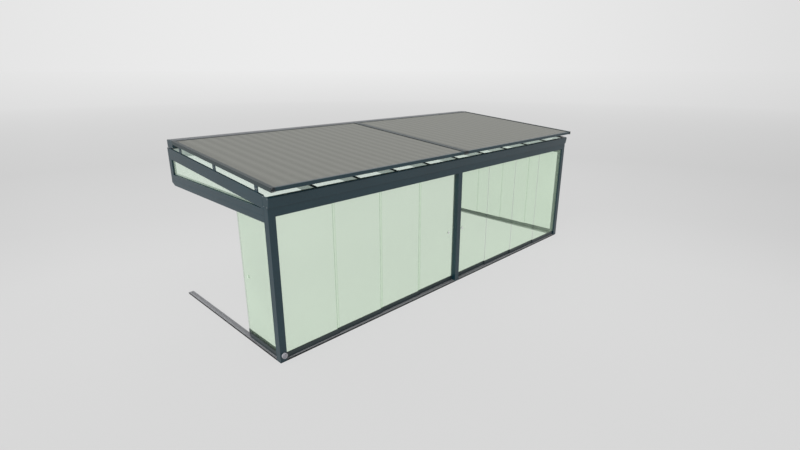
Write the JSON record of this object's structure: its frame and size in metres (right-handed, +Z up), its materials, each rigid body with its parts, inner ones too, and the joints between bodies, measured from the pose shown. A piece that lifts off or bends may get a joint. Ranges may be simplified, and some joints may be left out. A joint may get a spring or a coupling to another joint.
{
  "type": "lean-to patio roof with awning and sliding glass walls",
  "caption": "Lean-to patio roof of dark aluminium and glass, held by the house wall and front posts, with an awning over the roof and sliding glass walls on floor tracks.",
  "frame": {"origin": "middle of the wall profile's flat back face, in the plane of the house wall", "axes": "+X along the wall, to the right seen from the garden; +Y into the wall; +Z up. The floor is at the lowest point."},
  "size_m": [8, 3.306, 2.8756],
  "materials": {
    "anthracite_paint": "fine satin powder coat",
    "clear_glass": "clear safety glass, faintly green",
    "sliding_glass": "clear toughened glass, faintly green",
    "track_aluminium": "grey anodised, ribbed along its length",
    "awning_cloth": "grey woven acrylic cloth",
    "drain_plastic": "light grey plastic",
    "seal_rubber": "dark brush and rubber seals",
    "screw_steel": "stainless screws and knobs"
  },
  "bodies": {
    "frame": {"wall_profile": "anthracite_paint", "gutter": "anthracite_paint", "gutter_caps": "anthracite_paint", "post_left": "anthracite_paint", "post_middle": "anthracite_paint", "post_right": "anthracite_paint", "rafter_left": "anthracite_paint", "rafter_right": "anthracite_paint", "inner_rafters": "anthracite_paint", "roof_glass": "clear_glass", "cover_strips": "anthracite_paint", "front_track_left": "anthracite_paint", "front_track_right": "anthracite_paint", "side_header_left": "anthracite_paint", "side_header_right": "anthracite_paint", "side_track_left": "anthracite_paint", "side_track_right": "anthracite_paint", "gable_glass": "clear_glass", "gable_posts": "anthracite_paint", "floor_track_front_left": "track_aluminium", "floor_track_front_right": "track_aluminium", "floor_track_left": "track_aluminium", "floor_track_right": "track_aluminium", "awning_cassette": "anthracite_paint", "guide_rail_left": "anthracite_paint", "guide_rail_middle": "anthracite_paint", "guide_rail_right": "anthracite_paint", "awning_brackets": "anthracite_paint", "awning_cloth_left": "awning_cloth", "awning_cloth_right": "awning_cloth", "front_bar_left": "anthracite_paint", "front_bar_right": "anthracite_paint", "drain_outlet": "drain_plastic", "fixed_panels": "sliding_glass"},
    "front_left_panel_2": {"front_left_panel_2": "sliding_glass"},
    "front_left_panel_3": {"front_left_panel_3": "sliding_glass"},
    "front_left_panel_4": {"front_left_panel_4": "sliding_glass"},
    "front_right_panel_2": {"front_right_panel_2": "sliding_glass"},
    "front_right_panel_3": {"front_right_panel_3": "sliding_glass"},
    "front_right_panel_4": {"front_right_panel_4": "sliding_glass"},
    "left_panel_2": {"left_panel_2": "sliding_glass"},
    "left_panel_3": {"left_panel_3": "sliding_glass"},
    "left_panel_4": {"left_panel_4": "sliding_glass"},
    "right_panel_2": {"right_panel_2": "sliding_glass"},
    "right_panel_3": {"right_panel_3": "sliding_glass"},
    "right_panel_4": {"right_panel_4": "sliding_glass"}
  },
  "joints": [
    {"name": "front_left_panel_2_slide", "type": "slide", "parent": "frame", "child": "front_left_panel_2", "axis": [-1, 0, 0], "range_m": [0, 0.90375]},
    {"name": "front_left_panel_3_slide", "type": "slide", "parent": "frame", "child": "front_left_panel_3", "axis": [-1, 0, 0], "range_m": [0, 1.8075]},
    {"name": "front_left_panel_4_slide", "type": "slide", "parent": "frame", "child": "front_left_panel_4", "axis": [-1, 0, 0], "range_m": [0, 2.71125]},
    {"name": "front_right_panel_2_slide", "type": "slide", "parent": "frame", "child": "front_right_panel_2", "axis": [1, 0, 0], "range_m": [0, 0.90375]},
    {"name": "front_right_panel_3_slide", "type": "slide", "parent": "frame", "child": "front_right_panel_3", "axis": [1, 0, 0], "range_m": [0, 1.8075]},
    {"name": "front_right_panel_4_slide", "type": "slide", "parent": "frame", "child": "front_right_panel_4", "axis": [1, 0, 0], "range_m": [0, 2.71125]},
    {"name": "left_panel_2_slide", "type": "slide", "parent": "frame", "child": "left_panel_2", "axis": [0, 1, 0], "range_m": [0, 0.715]},
    {"name": "left_panel_3_slide", "type": "slide", "parent": "frame", "child": "left_panel_3", "axis": [0, 1, 0], "range_m": [0, 1.43]},
    {"name": "left_panel_4_slide", "type": "slide", "parent": "frame", "child": "left_panel_4", "axis": [0, 1, 0], "range_m": [0, 2.145]},
    {"name": "right_panel_2_slide", "type": "slide", "parent": "frame", "child": "right_panel_2", "axis": [0, -1, 0], "range_m": [0, 0.715]},
    {"name": "right_panel_3_slide", "type": "slide", "parent": "frame", "child": "right_panel_3", "axis": [0, -1, 0], "range_m": [0, 1.43]},
    {"name": "right_panel_4_slide", "type": "slide", "parent": "frame", "child": "right_panel_4", "axis": [0, -1, 0], "range_m": [0, 2.145]}
  ]
}
